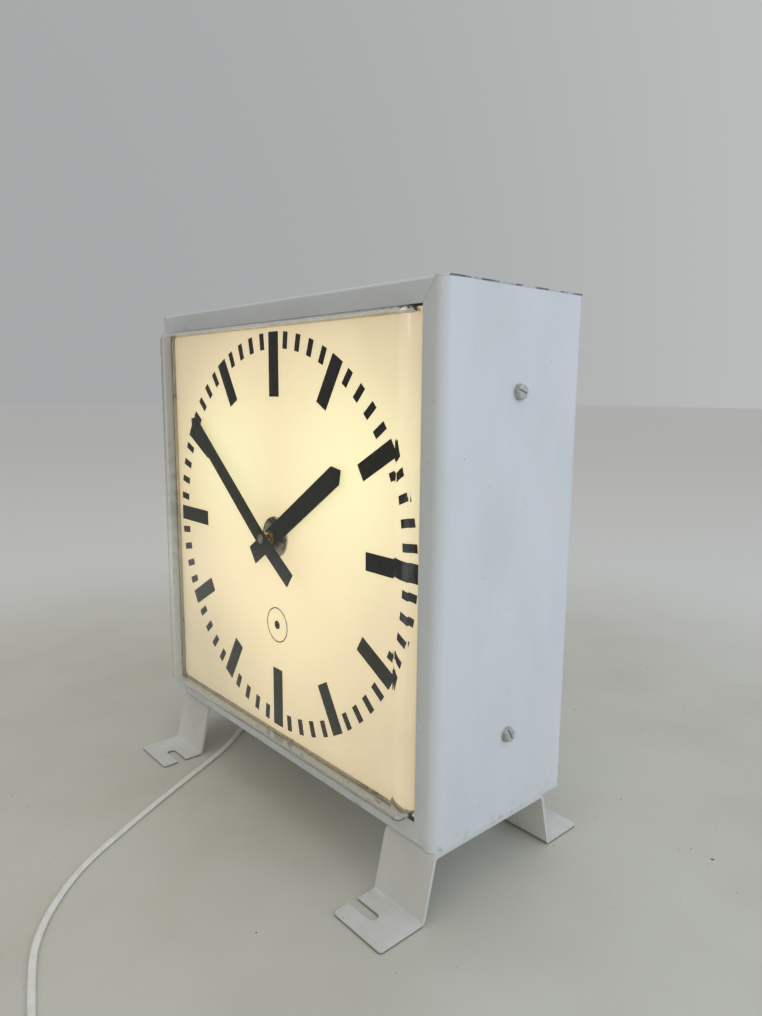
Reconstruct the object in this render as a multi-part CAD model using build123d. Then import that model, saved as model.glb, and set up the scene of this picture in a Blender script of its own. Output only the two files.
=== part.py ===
from build123d import *
import math
import os

# Illuminated service station clock: a square sheet-steel case on two strap feet, a clear moulded
# front cover over a back-lit opal dial, bar hands, and an impulse-driven slave movement inside.
# Millimetres. +X right, +Y towards the back, +Z up; the origin is on the table, midway between
# the feet. Positive turns about +Y are clockwise seen from the front.

# ---- driving dimensions -------------------------------------------------------------------

case_width = 405.0
case_height = 400.0
case_depth = 150.0
case_front = -64.0  # the front flange's face
sheet = 1.2
side_flange = 20.9
top_flange = 16.6
front_bend_radius = 9.5  # the big soft bend down the front corners, on the outside
edge_bend_radius = 2.0
rear_flange = 14.0
seam_gap = 0.15
rear_cover_margin = 2.0
vent_length, vent_width = 46.0, 3.0
vent_rows, vent_pitch = 6, 8.0
vent_spacing, vent_start = 70.0, 100.0

foot_height = 50.0
foot_width = 52.0
foot_strip = 2.5
foot_top_length = 125.2
foot_splay = 11.2
foot_flange_length = 40.8
foot_bend_radius = 3.0
foot_corner_radius = 3.0
foot_slot_width = 9.0
foot_slot_depth = 26.5
foot_slot_from_end = 19.0
foot_bolt_spacing = 80.0
left_foot_inset = 24.5  # the left foot is bolted on this far in from the case's edge

cover_proud = 15.0
cover_wall = 2.5
cover_corner_radius = 8.0
cover_play = 1.4  # between the cover's walls and the opening
lip_width_x = 5.4  # how far the lip and the dial reach behind the side flanges
lip_width_z = 6.6
fit_gap = 0.2  # between stacked flat pieces
seat_gap = 0.02  # between the rear cover and the flanges it closes on
gasket_thickness = 0.9

dial_thickness = 3.0
marker_margin = 6.6
marker_depth = 0.15
minute_tick = (6.5, 14.0)  # width and length
hour_bar = (14.0, 43.0)
quarter_bar = (14.5, 54.0)
emblem_radius = 16.0
emblem_line = 1.0
emblem_drop = 80.0

minute_hand_width = 13.8
minute_hand_tail = 51.0
minute_hand_end_gap = 3.0  # inside the ends of the bars
minute_hand_bend_at = 9.0  # from here out it is canted towards the dial
minute_hand_tip_gap = 3.6  # from the back of its point to the dial
hour_hand_width = 16.8
hour_hand_tail = 36.5
hour_hand_end_gap = 14.0  # inside the inner ends of the hour bars
hand_sheet = 1.0
hour_hand_proud = 5.7  # the front face of the hand, from the dial's face
minute_hand_proud = 15.4
collet_radius = 5.5
collet_length = 5.0
pipe_proud = 1.0
hand_nut_radius = 4.2
hand_nut_height = 1.2
shown_hour = 1
shown_minute = 50.8

arbor_radius = 2.5
cannon_radius = 4.0
pipe_radius = 6.0
bush_bore_radius = 7.0
bush_radius = 10.0
dial_nut_radius = 18.0
dial_nut_thickness = 2.6
running_gap = 0.05
hub_radius = 7.0
stud_radius = 2.5
pivot_seat = 2.0
pivot_radius = 1.2

pressure_angle = 25.0
addendum = 0.8
dedendum = 1.05
tooth_thinning = 0.08
motion_module = 1.0
hour_module = 0.8
train_module = 0.8
rotor_module = 0.7
cannon_teeth, motion_teeth = 12, 36
motion_pinion_teeth, hour_teeth = 12, 48
centre_teeth, train_pinion_teeth = 60, 12
train_teeth, rotor_pinion_teeth = 60, 10

plate_size = 110.0
plate_sheet = 2.0
pillar_inset = 6.0
pillar_radius = 4.0
motion_depth = 14.3  # dial support plate to front plate
train_depth = 20.0  # front plate to back plate
drive_gap = 9.0  # back plate to stator
stator_width = 52.0
stator_height = 62.0
stator_leg = 10.0
stator_depth = 6.0
stator_crown = 15.5
magnet_radius = 12.0
coil_radius = 10.0
bridge_span = 44.0
bridge_gap = 5.0

chassis_y = 22.0
chassis_sheet = 1.5
chassis_margin = 58.0  # above and below, inside the case
chassis_flange = 20.0
shelf_drop = 62.0
shelf_lip = 16.0
shelf_length = 300.0
shelf_depth = 64.0
lamp_offset = 85.0
lamp_y = -18.0
holder_radius = 13.0
holder_height = 56.0
bulb_radius = 17.0
bulb_length = 104.0
bulb_cap_radius = 7.0
wire_hole_radius = 6.0
wire_hole_z = -92.0
terminal_at = (10.0, 30.0)
terminal_pitch = 12.0
terminal_height = 16.0

side_screw_y = 12.5
side_screw_from_top = 73.4
side_screw_from_bottom = 69.0
screw_radius = 3.0
screw_head_radius = 5.2
screw_head_height = 3.6
washer_radius = 6.1
washer_thickness = 1.0
nut_radius = 5.8
nut_height = 5.0
small_screw_radius = 2.0
small_head_radius = 3.6
small_head_height = 2.4
clip_stud_radius = 2.0
clip_nut_radius = 3.8
clip_reach = 16.0
clip_width = 14.0

gland_radius = 9.0
gland_inside = 8.0
relief_length = 22.0
relief_top_radius = 5.0
relief_end_radius = 3.4
cord_radius = 2.6
cord_exit = (-96.0, 44.0)
cord_route = [
    (-96.0, 44.0, 36.0),
    (-96.0, 44.0, 25.0),
    (-102.4, 44.0, 15.5),
    (-120.0, 43.0, 6.5),
    (-139.4, 37.4, 2.6),
    (-154.8, 18.0, 2.6),
    (-154.0, -6.7, 2.6),
    (-134.0, -30.5, 2.6),
    (-116.0, -57.0, 2.6),
    (-99.0, -90.0, 2.6),
    (-72.5, -142.5, 2.6),
    (-46.0, -191.0, 2.6),
    (-22.0, -232.0, 2.6),
    (8.0, -264.0, 2.6),
    (42.0, -288.0, 2.6),
    (76.0, -299.5, 2.6),
    (108.0, -308.6, 2.6),
    (141.0, -320.5, 3.2),
]
tail_route = [
    (160.6, -328.0, 9.0),
    (176.0, -333.5, 5.4),
    (190.0, -342.0, 4.6),
    (199.0, -354.0, 7.0),
    (203.0, -369.0, 7.0),
]
coil_centre = (140.0, -351.0)
coil_middle_radius = 27.5
coil_across = 16.6
coil_height = 11.0
coil_lift = 1.0
tie_turn = 215.0
tie_width = 9.0
tie_thickness = 0.9
boot_length = 12.0
plug_length, plug_width, plug_height = 35.0, 26.0, 13.7
pin_radius, pin_length, pin_spacing = 2.0, 19.0, 19.0

# ---- what follows from them ---------------------------------------------------------------

half_width = case_width / 2
case_bottom = foot_height
case_top = foot_height + case_height
case_back = case_front + case_depth
centre_z = case_bottom + case_height / 2
open_x = half_width - side_flange
open_z = case_height / 2 - top_flange
flange_back = case_front + sheet
lip_x = open_x + lip_width_x
lip_z = open_z + lip_width_z
lip_front = flange_back + fit_gap
lip_back = lip_front + cover_wall
gasket_front = lip_back + fit_gap
dial_front = gasket_front + gasket_thickness + fit_gap
dial_back = dial_front + dial_thickness
marker_outer = min(open_x, open_z) - marker_margin
rear_flange_back = case_back - sheet

support_front = dial_back + fit_gap
support_back = support_front + chassis_sheet
front_plate_y = support_back + motion_depth
train_y = front_plate_y + plate_sheet
back_plate_y = train_y + train_depth
back_plate_end = back_plate_y + plate_sheet
pillar_at = plate_size / 2 - pillar_inset

hour_hand_front = dial_front - hour_hand_proud
minute_hand_front = dial_front - minute_hand_proud
minute_hand_back = minute_hand_front + hand_sheet
hand_nut_front = minute_hand_front - hand_nut_height
hour_wheel_y = support_back + 0.8
motion_wheel_y = hour_wheel_y + 5
train_wheel_y = train_y + 10
drive_y = back_plate_end + drive_gap
bridge_y = drive_y + stator_depth + bridge_gap
stud_bore = stud_radius + running_gap
pipe_bore = cannon_radius + running_gap

minute_angle = 90 - 6 * shown_minute
hour_angle = 90 - 30 * (shown_hour + shown_minute / 60)
motion_direction = -90.0
train_direction = 90.0
rotor_direction = 180.0


def polar(radius, degrees, around=(0.0, 0.0)):
    turn = math.radians(degrees)
    return around[0] + radius * math.cos(turn), around[1] + radius * math.sin(turn)


motion_centre = polar(motion_module * (cannon_teeth + motion_teeth) / 2, motion_direction)
train_centre = polar(train_module * (centre_teeth + train_pinion_teeth) / 2, train_direction)
rotor_centre = polar(
    rotor_module * (train_teeth + rotor_pinion_teeth) / 2, rotor_direction, train_centre
)
coil_wire_hole = (rotor_centre[0], rotor_centre[1] - stator_height + stator_leg / 2)


# ---- helpers ------------------------------------------------------------------------------


def front_plate(face, start, end):
    # a flat face drawn as seen from the front, centred on the dial, between two depths
    plane = Plane(origin=(0, start, centre_z), x_dir=(1, 0, 0), z_dir=(0, -1, 0))
    return extrude(plane * face, amount=end - start, dir=(0, 1, 0))


def disc(radius, start, end, at=(0.0, 0.0)):
    # a round bar along Y; its place is measured from the dial's centre
    middle = Pos(at[0], (start + end) / 2, centre_z + at[1])
    return middle * Rot(90, 0, 0) * Cylinder(radius, end - start)


def ring(outer, inner, start, end, at=(0.0, 0.0)):
    return disc(outer, start, end, at) - disc(inner, start - 1, end + 1, at)


def upright(radius, low, high, x, y):
    return Pos(x, y, (low + high) / 2) * Cylinder(radius, high - low)


def box(low, high):
    size = [b - a for a, b in zip(low, high)]
    middle = [(a + b) / 2 for a, b in zip(low, high)]
    return Pos(*middle) * Box(*size)


def offset_line(points, distance):
    # the same run of corners, moved to its left by the distance
    moved = []
    for i, point in enumerate(points):
        before = points[max(i - 1, 0)]
        after = points[min(i + 1, len(points) - 1)]
        normals = []
        for a, b in ((before, point), (point, after)):
            length = math.dist(a, b)
            if length > 0:
                normals.append(((a[1] - b[1]) / length, (b[0] - a[0]) / length))
        sum_x = sum(n[0] for n in normals)
        sum_y = sum(n[1] for n in normals)
        scale = distance * len(normals) / (sum_x**2 + sum_y**2)
        moved.append((point[0] + sum_x * scale, point[1] + sum_y * scale))
    return moved


def bent_section(points, thickness, inside_radii):
    # the section of a folded sheet; points are on its middle line
    turns = []
    for a, b, c in zip(points, points[1:], points[2:]):
        turns.append((b[0] - a[0]) * (c[1] - b[1]) - (b[1] - a[1]) * (c[0] - b[0]))
    inner_left = [r if t > 0 else r + thickness for r, t in zip(inside_radii, turns)]
    inner_right = [r + thickness if t > 0 else r for r, t in zip(inside_radii, turns)]
    left = offset_line(points, thickness / 2)
    right = offset_line(points, -thickness / 2)
    edges = FilletPolyline(*left, radius=inner_left) + FilletPolyline(*right, radius=inner_right)
    edges += Line(left[0], right[0]) + Line(left[-1], right[-1])
    return make_face(edges.edges())


def hexagon_bar(radius, low, high, x, y):
    return Pos(x, y, low) * extrude(RegularPolygon(radius, 6), amount=high - low)


def gear_face(teeth, module, tooth_at):
    # involute teeth, one of them centred on the direction tooth_at
    pitch = teeth * module / 2
    base = pitch * math.cos(math.radians(pressure_angle))
    tip = pitch + addendum * module
    root = pitch - dedendum * module
    start = max(base, root)
    at_pitch = (math.pi / 2 - tooth_thinning) * module / (2 * pitch)
    rolled = math.tan(math.radians(pressure_angle)) - math.radians(pressure_angle)

    def half_angle(radius):
        angle = math.acos(min(1.0, base / radius))
        return math.degrees(at_pitch + rolled - math.tan(angle) + angle)

    steps = 5
    radii = [start + (tip - start) * i / (steps - 1) for i in range(steps)]
    edges = []
    for tooth in range(teeth):
        middle = tooth_at + 360 * tooth / teeth
        rising = [polar(r, middle - half_angle(r)) for r in radii]
        falling = [polar(r, middle + half_angle(r)) for r in radii]
        foot = half_angle(start)
        low_in = polar(root, middle - foot)
        low_out = polar(root, middle + foot)
        next_in = polar(root, middle + 360 / teeth - foot)
        edges.append(Spline(*rising))
        edges.append(Spline(*falling))
        edges.append(ThreePointArc(rising[-1], polar(tip, middle), falling[-1]))
        edges.append(ThreePointArc(low_out, polar(root, middle + 180 / teeth), next_in))
        if base > root:
            edges.append(Line(low_in, rising[0]))
            edges.append(Line(low_out, falling[0]))
    return make_face([edge.edge() for edge in edges])


def gear(teeth, module, tooth_at, start, end, at, bore):
    blank = front_plate(Pos(*at) * gear_face(teeth, module, tooth_at), start, end)
    return blank - disc(bore, start - 1, end + 1, at)


def spokes(wheel, start, end, at, inner, outer, count=4, arm=6.0):
    # crosses out a wheel, leaving arms between its hub and its rim
    window = Circle(outer) - Circle(inner)
    for i in range(count):
        window -= Rot(0, 0, 180 * i / count) * Rectangle(2 * outer + 2, arm)
    return wheel - front_plate(Pos(*at) * window, start - 1, end + 1)


# ---- case ---------------------------------------------------------------------------------


def side_panel():
    # the right-hand panel: rear flange, side, big front bend and front flange
    middle_x = half_width - sheet / 2
    middle_front = case_front + sheet / 2
    section = bent_section(
        [
            (half_width - rear_flange, rear_flange_back - sheet / 2),
            (middle_x, rear_flange_back - sheet / 2),
            (middle_x, middle_front),
            (open_x, middle_front),
        ],
        sheet,
        [edge_bend_radius, front_bend_radius - sheet],
    )
    low = case_bottom + sheet + seam_gap
    high = case_top - sheet - seam_gap
    panel = Pos(0, 0, low) * extrude(section, amount=high - low)
    bend_x = half_width - front_bend_radius
    for sign in (1, -1):
        corner = Polygon(
            (open_x - 2, sign * (open_z - 2)),
            (open_x, sign * (open_z - seam_gap)),
            (bend_x, sign * (open_z - seam_gap + mitre_rise(bend_x))),
            (bend_x, sign * (case_height / 2 + 1)),
            (open_x - 2, sign * (case_height / 2 + 1)),
            align=None,
        )
        panel -= front_plate(corner, case_front - 1, flange_back + edge_bend_radius)
        inner_corner = Polygon(
            (half_width - rear_flange - 1, sign * (case_height / 2 - rear_flange)),
            (half_width - sheet - edge_bend_radius, sign * (case_height / 2 - rear_flange)),
            (half_width - sheet - edge_bend_radius, sign * (case_height / 2 + 1)),
            (half_width - rear_flange - 1, sign * (case_height / 2 + 1)),
            align=None,
        )
        panel -= front_plate(inner_corner, rear_flange_back - sheet - 1, case_back)
    for z in side_screw_heights():
        panel -= Pos(half_width, side_screw_y, z) * Rot(0, 90, 0) * Cylinder(
            screw_radius + fit_gap, 4 * sheet
        )
    for x, z in rear_screw_places():
        if x > open_x:
            panel -= disc(small_screw_radius, rear_flange_back - 2 * sheet, case_back, (x, z))
    return panel


def mitre_rise(x):
    # the height of the corner seam above the opening's corner, at a distance across
    full = half_width - front_bend_radius - open_x
    return (x - open_x) * (top_flange - edge_bend_radius - seam_gap) / full


def side_screw_heights():
    return case_top - side_screw_from_top, case_bottom + side_screw_from_bottom


def rear_screw_places():
    # three along the top and bottom, one in the middle of each side
    x = half_width - rear_flange / 2 - sheet / 2
    z = case_height / 2 - rear_flange / 2 - sheet / 2
    across = case_width * 0.36
    places = [(step * across, sign * z) for sign in (1, -1) for step in (-1, 0, 1)]
    return places + [(x, 0.0), (-x, 0.0)]


def end_panel():
    # the top panel: a flat sheet with rounded front corners, a front flange and a rear flange
    top = case_top - sheet / 2
    section = bent_section(
        [
            (rear_flange_back - sheet / 2, case_top - rear_flange),
            (rear_flange_back - sheet / 2, top),
            (case_front + sheet / 2, top),
            (case_front + sheet / 2, centre_z + open_z),
        ],
        sheet,
        [edge_bend_radius - sheet / 2, edge_bend_radius - sheet / 2],
    )
    bend_x = half_width - front_bend_radius
    folded_half = bend_x - seam_gap
    profile = Plane(origin=(-folded_half, 0, 0), x_dir=(0, 1, 0), z_dir=(1, 0, 0)) * section
    panel = extrude(profile, amount=2 * folded_half)
    plan = Pos(0, (case_front + rear_flange_back) / 2) * Rectangle(
        case_width, rear_flange_back - case_front
    )
    front_corners = plan.vertices().sort_by(Axis.Y)[:2]
    plan = fillet(front_corners, front_bend_radius)
    inner = Pos(0, (case_front + rear_flange_back) / 2) * Rectangle(
        2 * folded_half - 2, rear_flange_back - case_front + 2
    )
    wings = Pos(0, 0, case_top - sheet) * extrude(plan - inner, amount=sheet)
    panel += wings
    for side in (1, -1):
        corner = Polygon(
            (side * (open_x - seam_gap), open_z - 1),
            (side * (open_x - seam_gap), open_z),
            (side * (bend_x - seam_gap), open_z + mitre_rise(bend_x)),
            (side * (bend_x + 1), open_z + mitre_rise(bend_x)),
            (side * (bend_x + 1), open_z - 1),
            align=None,
        )
        panel -= front_plate(corner, case_front - 1, flange_back + edge_bend_radius)
        rear_corner = Polygon(
            (side * (half_width - rear_flange - seam_gap), case_height / 2 - rear_flange - 1),
            (side * (half_width - rear_flange - seam_gap), case_height / 2 - sheet - seam_gap),
            (side * half_width, case_height / 2 - sheet - seam_gap),
            (side * half_width, case_height / 2 - rear_flange - 1),
            align=None,
        )
        panel -= front_plate(rear_corner, rear_flange_back - 3 * sheet, case_back)
    for x, z in rear_screw_places():
        if z > open_z:
            panel -= disc(small_screw_radius, rear_flange_back - 2 * sheet, case_back, (x, z))
    return panel


def bottom_of(panel):
    flipped = mirror(panel, about=Plane.XY)
    panel = Pos(0, 0, case_bottom + case_top) * flipped
    for x in foot_centres():
        for y in (-foot_bolt_spacing / 2, foot_bolt_spacing / 2):
            panel -= upright(screw_radius, case_bottom - 1, case_bottom + 2 * sheet, x, y)
    panel -= upright(gland_radius - 2, case_bottom - 1, case_bottom + 2 * sheet, *cord_exit)
    return panel


def rear_cover():
    cover = front_plate(
        RectangleRounded(
            case_width - 2 * rear_cover_margin, case_height - 2 * rear_cover_margin, 5
        ),
        rear_flange_back + seat_gap,
        case_back,
    )
    slot = SlotOverall(vent_length, vent_width)
    for sign in (1, -1):
        for row in range(vent_rows):
            for column in (-1, 0, 1):
                place = Pos(column * vent_spacing, sign * (vent_start + row * vent_pitch))
                cover -= front_plate(place * slot, rear_flange_back - 1, case_back + 1)
    for x, z in rear_screw_places():
        cover -= disc(small_screw_radius + fit_gap, rear_flange_back - 1, case_back + 1, (x, z))
    return cover


def slotted_screw(radius, head_radius, head_height, shank, slot_turn):
    # stands on the origin with its head up and its shank down
    head = Pos(0, 0, head_height / 2) * Cylinder(head_radius, head_height)
    head = fillet(head.edges().sort_by(Axis.Z)[-1:], 0.25 * head_height)
    slot = Pos(0, 0, head_height) * Rot(0, 0, slot_turn) * Box(
        2 * head_radius + 2, 0.28 * head_radius, 0.9 * head_height
    )
    return head - slot + Pos(0, 0, -shank / 2) * Cylinder(radius, shank)


def rear_cover_screws():
    screws = []
    for i, (x, z) in enumerate(rear_screw_places()):
        screw = slotted_screw(small_screw_radius, small_head_radius, small_head_height, 7, 25 * i)
        screws.append(Pos(x, case_back, centre_z + z) * Rot(-90, 0, 0) * screw)
    return Compound(children=screws)


# ---- feet ---------------------------------------------------------------------------------


def foot_centres():
    return half_width - foot_width / 2, foot_width / 2 + left_foot_inset - half_width


def right_foot():
    # a strip folded into a hat, with a slot in each flange that is open towards the middle
    half_top = foot_top_length / 2
    half_end = half_top + foot_splay + foot_flange_length
    low, high = foot_strip / 2, foot_height - foot_strip / 2
    section = bent_section(
        [
            (-half_end, low),
            (-half_top - foot_splay, low),
            (-half_top, high),
            (half_top, high),
            (half_top + foot_splay, low),
            (half_end, low),
        ],
        foot_strip,
        [foot_bend_radius] * 4,
    )
    inner_x = half_width - foot_width
    profile = Plane(origin=(inner_x, 0, 0), x_dir=(0, 1, 0), z_dir=(1, 0, 0)) * section
    strip = extrude(profile, amount=foot_width)
    ends = [e for e in strip.edges().filter_by(Axis.Z) if e.length < 2 * foot_strip]
    strip = fillet(ends, foot_corner_radius)
    hole_x = half_width - foot_width / 2
    half_slot = foot_slot_width / 2
    slot_end = inner_x + foot_slot_depth - half_slot
    for sign in (1, -1):
        slot_y = sign * (half_end - foot_slot_from_end)
        strip -= upright(half_slot, -1, 2 * foot_strip, slot_end, slot_y) + box(
            (inner_x - 1, slot_y - half_slot, -1), (slot_end, slot_y + half_slot, 2 * foot_strip)
        )
        hole_y = sign * foot_bolt_spacing / 2
        strip -= upright(screw_radius, foot_height - 2 * foot_strip, foot_height + 1, hole_x, hole_y)
    return strip


def foot_bolts():
    bolts = []
    for i, x in enumerate(foot_centres()):
        for j, sign in enumerate((1, -1)):
            bolt = slotted_screw(
                screw_radius - fit_gap, screw_head_radius, screw_head_height,
                foot_strip + sheet + nut_height + 2, 40 * i + 65 * j,
            )
            place = Pos(x, sign * foot_bolt_spacing / 2, foot_height - foot_strip)
            bolts.append(place * Rot(180, 0, 0) * bolt)
    return Compound(children=bolts)


def foot_nuts():
    nuts = []
    for x in foot_centres():
        for sign in (1, -1):
            y = sign * foot_bolt_spacing / 2
            low = case_bottom + sheet
            nut = hexagon_bar(nut_radius, low, low + nut_height, x, y)
            nuts.append(nut - upright(screw_radius - fit_gap, low - 1, low + nut_height + 1, x, y))
    return Compound(children=nuts)


# ---- glazing and dial ---------------------------------------------------------------------


def front_cover():
    # one moulded shell: a proud face with soft edges, four walls, and a lip behind the flanges
    wall_x, wall_z = open_x - cover_play, open_z - cover_play
    front = case_front - cover_proud
    outer = front_plate(
        RectangleRounded(2 * wall_x, 2 * wall_z, cover_corner_radius), front, lip_back
    )
    outer = fillet(outer.edges().group_by(Axis.Y)[0], cover_corner_radius - 0.5)
    hollow = front_plate(
        RectangleRounded(
            2 * (wall_x - cover_wall), 2 * (wall_z - cover_wall), cover_corner_radius - cover_wall
        ),
        front + cover_wall,
        lip_back + 1,
    )
    hollow = fillet(hollow.edges().group_by(Axis.Y)[0], cover_corner_radius - cover_wall - 0.5)
    lip = front_plate(RectangleRounded(2 * lip_x, 2 * lip_z, 3), lip_front, lip_back)
    return outer + lip - hollow


def frame_of(outer_x, outer_z, inner_x, inner_z, start, end):
    face = Rectangle(2 * outer_x, 2 * outer_z) - Rectangle(2 * inner_x, 2 * inner_z)
    return front_plate(face, start, end)


def cover_gasket():
    inner_x, inner_z = open_x - cover_play, open_z - cover_play
    return frame_of(lip_x, lip_z, inner_x, inner_z, gasket_front, gasket_front + gasket_thickness)


def dial_plate():
    plate = front_plate(RectangleRounded(2 * lip_x, 2 * lip_z, 3), dial_front, dial_back)
    return plate - disc(bush_radius + fit_gap, dial_front - 1, dial_back + 1)


def dial_markers():
    marks = []
    for minute in range(60):
        width, length = minute_tick
        if minute % 15 == 0:
            width, length = quarter_bar
        elif minute % 5 == 0:
            width, length = hour_bar
        bar = Pos(0, marker_outer - length / 2) * Rectangle(width, length)
        marks.append(front_plate(Rot(0, 0, -6 * minute) * bar, dial_front - marker_depth, dial_front))
    emblem = Circle(emblem_radius) - Circle(emblem_radius - emblem_line)
    for face in (emblem, Circle(emblem_radius / 4)):
        marks.append(front_plate(Pos(0, -emblem_drop) * face, dial_front - marker_depth, dial_front))
    return Compound(children=marks)


def clip_places():
    # welded studs in the flat strip outside the lip, and the way from each to the dial
    side = (lip_x + half_width - front_bend_radius) / 2 + 0.4
    top = (lip_z + case_height / 2 - edge_bend_radius) / 2
    places = []
    for sign in (1, -1):
        for along in (-0.3, 0.3):
            places.append((sign * side, along * case_height, 0))
            places.append((along * case_width, sign * top, 90))
    return places


def clip_studs():
    length = dial_back + sheet + 8
    return Compound(
        children=[disc(clip_stud_radius, flange_back, length, (x, z)) for x, z, _ in clip_places()]
    )


def dial_clips():
    clips = []
    for x, z, turn in clip_places():
        tab = Rot(0, 0, turn) * RectangleRounded(clip_reach, clip_width, 2)
        inward = -math.copysign(clip_reach / 2 - 3.5, z if turn else x)
        shift = (0, inward) if turn else (inward, 0)
        clip = front_plate(Pos(x + shift[0], z + shift[1]) * tab, dial_back, dial_back + sheet)
        hole = disc(clip_stud_radius + fit_gap, dial_back - 1, dial_back + 2 * sheet, (x, z))
        clips.append(clip - hole)
    return Compound(children=clips)


def clip_nuts():
    nuts = []
    for x, z, _ in clip_places():
        start = dial_back + sheet
        nut = front_plate(Pos(x, z) * RegularPolygon(clip_nut_radius, 6), start, start + 2.2)
        nuts.append(nut - disc(clip_stud_radius, start - 1, start + 4, (x, z)))
    return Compound(children=nuts)


# ---- chassis, lamps and wiring ------------------------------------------------------------


def chassis_plate():
    # the white-painted back reflector that also carries the movement; its side flanges fold
    # forward against the side panels, where the side screws hold them
    reach = half_width - sheet - fit_gap
    section = bent_section(
        [
            (-reach + chassis_sheet / 2, chassis_y + chassis_sheet / 2 - chassis_flange),
            (-reach + chassis_sheet / 2, chassis_y + chassis_sheet / 2),
            (reach - chassis_sheet / 2, chassis_y + chassis_sheet / 2),
            (reach - chassis_sheet / 2, chassis_y + chassis_sheet / 2 - chassis_flange),
        ],
        chassis_sheet,
        [edge_bend_radius] * 2,
    )
    low, high = case_bottom + chassis_margin, case_top - chassis_margin
    plate = Pos(0, 0, low) * extrude(section, amount=high - low)
    for z in side_screw_heights():
        through = Cylinder(screw_radius + fit_gap, case_width)
        plate -= Pos(0, side_screw_y, z) * Rot(0, 90, 0) * through
    start, end = chassis_y - 1, chassis_y + 2 * chassis_sheet
    for at in pillar_places():
        plate -= disc(small_screw_radius + fit_gap, start, end, at)
    for x in (-lamp_offset, lamp_offset):
        plate -= disc(wire_hole_radius, start, end, (x, wire_hole_z))
    return plate - disc(wire_hole_radius, start, end, coil_wire_hole)


def side_screw_group(make):
    made = [make(z, i) for i, z in enumerate(side_screw_heights())]
    return Compound(children=made + [mirror(piece, about=Plane.YZ) for piece in made])


def side_screw(z, i):
    grip = washer_thickness + sheet + fit_gap + chassis_sheet + nut_height + 1
    screw = slotted_screw(screw_radius, screw_head_radius, screw_head_height, grip, (70, 28)[i])
    return Pos(half_width + washer_thickness, side_screw_y, z) * Rot(0, 90, 0) * screw


def side_washer(z, i):
    washer = Cylinder(washer_radius, washer_thickness)
    washer -= Cylinder(screw_radius, 2 * washer_thickness)
    return Pos(half_width + washer_thickness / 2, side_screw_y, z) * Rot(0, 90, 0) * washer


def side_nut(z, i):
    outer = half_width - sheet - fit_gap - chassis_sheet
    nut = extrude(RegularPolygon(nut_radius, 6), amount=nut_height)
    nut -= Cylinder(screw_radius, 4 * nut_height)
    return Pos(outer, side_screw_y, z) * Rot(0, -90, 0) * nut


def lamp_shelf():
    # an angle strip welded to the chassis plate, with a hole under each lampholder
    top = centre_z - shelf_drop
    section = bent_section(
        [
            (chassis_y - shelf_depth, top - chassis_sheet / 2),
            (chassis_y - chassis_sheet / 2, top - chassis_sheet / 2),
            (chassis_y - chassis_sheet / 2, top - shelf_lip),
        ],
        chassis_sheet,
        [edge_bend_radius],
    )
    profile = Plane(origin=(-shelf_length / 2, 0, 0), x_dir=(0, 1, 0), z_dir=(1, 0, 0)) * section
    shelf = extrude(profile, amount=shelf_length)
    for x in (-lamp_offset, lamp_offset):
        shelf -= upright(wire_hole_radius, top - 2 * chassis_sheet, top + 1, x, lamp_y)
    return shelf


def lampholders():
    base = centre_z - shelf_drop
    made = []
    for x in (-lamp_offset, lamp_offset):
        holder = upright(holder_radius + 2, base, base + 4, x, lamp_y)
        holder += upright(holder_radius, base, base + holder_height, x, lamp_y)
        for groove in range(3):
            z = base + 14 + 8 * groove
            band = upright(holder_radius + 1, z, z + 3, x, lamp_y)
            holder -= band - upright(holder_radius - 1, z - 1, z + 4, x, lamp_y)
        holder -= upright(bulb_cap_radius + fit_gap, base + 18, base + holder_height + 1, x, lamp_y)
        holder -= upright(wire_hole_radius - 1, base - 1, base + 19, x, lamp_y)
        made.append(holder)
    return Compound(children=made)


def bulbs():
    base = centre_z - shelf_drop + 20
    neck = base + holder_height - 17
    shoulder = (bulb_cap_radius + 1, neck + 3)
    made = []
    for x in (-lamp_offset, lamp_offset):
        outline = Polyline((0, base), (bulb_cap_radius, base), (bulb_cap_radius, neck), shoulder)
        outline += Spline(
            shoulder,
            (bulb_radius, neck + 0.38 * bulb_length),
            (0.55 * bulb_radius, neck + 0.72 * bulb_length),
            (0, neck + 0.8 * bulb_length),
            tangents=((0.3, 1), (-1, 0)),
        )
        outline += Line((0, neck + 0.8 * bulb_length), (0, base))
        bulb = revolve(Plane.XZ * make_face(outline.edges()), axis=Axis.Z)
        made.append(Pos(x, lamp_y, 0) * bulb)
    return Compound(children=made)


def wire(points, radius=1.1):
    # an insulated lead: straight runs joined by arcs
    path = FilletPolyline(*points, radius=6)
    start = Plane(origin=points[0], z_dir=Vector(*points[1]) - Vector(*points[0]))
    return sweep(start * Circle(radius), path=path)


def terminal_places():
    return [terminal_at[0] + (i - 1) * terminal_pitch for i in range(3)]


def terminal_block():
    x, y = terminal_at
    low = case_bottom + sheet
    half = 1.5 * terminal_pitch
    block = box((x - half, y - 8, low), (x + half, y + 8, low + terminal_height))
    for pole in terminal_places():
        block -= upright(small_screw_radius, low + 4, low + terminal_height + 1, pole, y - 4)
        block -= upright(small_screw_radius, low + 4, low + terminal_height + 1, pole, y + 4)
        mouth = Pos(pole, y - 7, low + 6) * Rot(90, 0, 0) * Cylinder(1.6, 6)
        block -= mouth + Pos(pole, y + 7, low + 6) * Rot(90, 0, 0) * Cylinder(1.6, 6)
    for divider in (terminal_places()[0], terminal_places()[1]):
        at = divider + terminal_pitch / 2
        block -= box((at - 0.8, y - 9, low + 8), (at + 0.8, y + 9, low + terminal_height + 1))
    return block


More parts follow.
